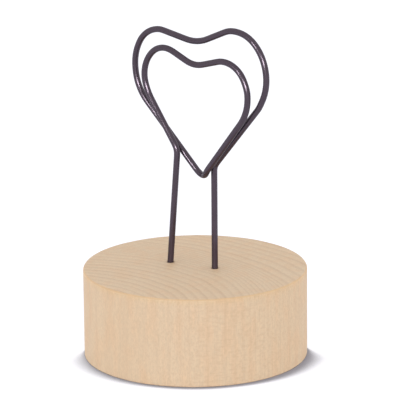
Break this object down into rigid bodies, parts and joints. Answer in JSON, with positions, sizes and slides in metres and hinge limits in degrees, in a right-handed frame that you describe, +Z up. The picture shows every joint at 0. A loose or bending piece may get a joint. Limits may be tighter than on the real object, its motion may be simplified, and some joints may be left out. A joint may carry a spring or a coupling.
{
  "type": "photo holder",
  "caption": "Round wooden block with a clip bent from one dark coated wire, whose two nested heart-shaped loops grip a photo or card upright between them.",
  "frame": {"origin": "centre of the block's underside, on the surface that it stands on", "axes": "+Z up along the block's axis, +X across the hearts from the leg of the front heart to the leg of the rear heart, -Y towards the viewer, on the side of the smaller front heart"},
  "size_m": [0.06, 0.06, 0.0905],
  "materials": {
    "wood": "pale close-grained hardwood, sanded and unvarnished, end grain on the top and bottom",
    "coated_wire": "satin plum-brown coating",
    "glue": "hardened clear amber glue"
  },
  "bodies": {
    "root": {"wooden_block": "wood", "wire_clip": "coated_wire", "left_leg_glue": "glue", "right_leg_glue": "glue"}
  },
  "joints": []
}
